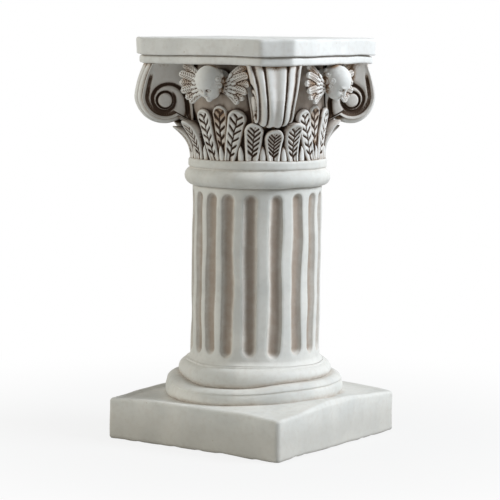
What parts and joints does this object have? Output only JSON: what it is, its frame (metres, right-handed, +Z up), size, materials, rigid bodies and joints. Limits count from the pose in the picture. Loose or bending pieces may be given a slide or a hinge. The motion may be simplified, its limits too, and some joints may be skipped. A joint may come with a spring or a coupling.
{
  "type": "pedestal column stand",
  "caption": "Small fluted column stand with a square plinth, ring base, and a capital of leaves, corner volutes and winged heads under a flat top.",
  "frame": {"origin": "on the floor, under the middle of the column", "axes": "+Z up along the column's axis, -Y out of the front side, +X out of the right side"},
  "size_m": [0.1582, 0.1582, 0.3],
  "materials": {
    "cast_base": "matte cast stone resin, off-white with a faint brown antique wash",
    "cast_shaft": "matte cast stone resin, off-white, mauve-brown wash mottled in the flutes",
    "cast_ornament": "matte cast stone resin, off-white, brown wash settled in the hollows",
    "cast_abacus": "matte cast stone resin, off-white",
    "felt": "dark felt",
    "dowel_wood": "plain beech"
  },
  "bodies": {
    "root": {"abacus_dowels": "dowel_wood", "abacus_moulding": "cast_abacus", "abacus_slab": "cast_abacus", "back_leaf_back": "cast_ornament", "back_leaf_front": "cast_ornament", "back_leaf_left": "cast_ornament", "back_leaf_right": "cast_ornament", "base_dowels": "dowel_wood", "base_lower_ring": "cast_base", "base_upper_ring": "cast_base", "bud_leaves_back": "cast_ornament", "bud_leaves_front": "cast_ornament", "bud_leaves_left": "cast_ornament", "bud_leaves_right": "cast_ornament", "capital_bell": "cast_ornament", "cherub_head_back": "cast_ornament", "cherub_head_front": "cast_ornament", "cherub_head_left": "cast_ornament", "cherub_head_right": "cast_ornament", "corner_leaf_back_left": "cast_ornament", "corner_leaf_back_right": "cast_ornament", "corner_leaf_front_left": "cast_ornament", "corner_leaf_front_right": "cast_ornament", "felt_pad_back_left": "felt", "felt_pad_back_right": "felt", "felt_pad_front_left": "felt", "felt_pad_front_right": "felt", "flank_leaf_back_left_a": "cast_ornament", "flank_leaf_back_left_b": "cast_ornament", "flank_leaf_back_right_a": "cast_ornament", "flank_leaf_back_right_b": "cast_ornament", "flank_leaf_front_left_a": "cast_ornament", "flank_leaf_front_left_b": "cast_ornament", "flank_leaf_front_right_a": "cast_ornament", "flank_leaf_front_right_b": "cast_ornament", "neck_ring": "cast_base", "plinth": "cast_base", "shaft": "cast_shaft", "tall_leaf_back_a": "cast_ornament", "tall_leaf_back_b": "cast_ornament", "tall_leaf_front_a": "cast_ornament", "tall_leaf_front_b": "cast_ornament", "tall_leaf_left_a": "cast_ornament", "tall_leaf_left_b": "cast_ornament", "tall_leaf_right_a": "cast_ornament", "tall_leaf_right_b": "cast_ornament", "volute_back_left": "cast_ornament", "volute_back_right": "cast_ornament", "volute_front_left": "cast_ornament", "volute_front_right": "cast_ornament", "wing_back_a": "cast_ornament", "wing_back_b": "cast_ornament", "wing_front_a": "cast_ornament", "wing_front_b": "cast_ornament", "wing_left_a": "cast_ornament", "wing_left_b": "cast_ornament", "wing_right_a": "cast_ornament", "wing_right_b": "cast_ornament"}
  },
  "joints": []
}
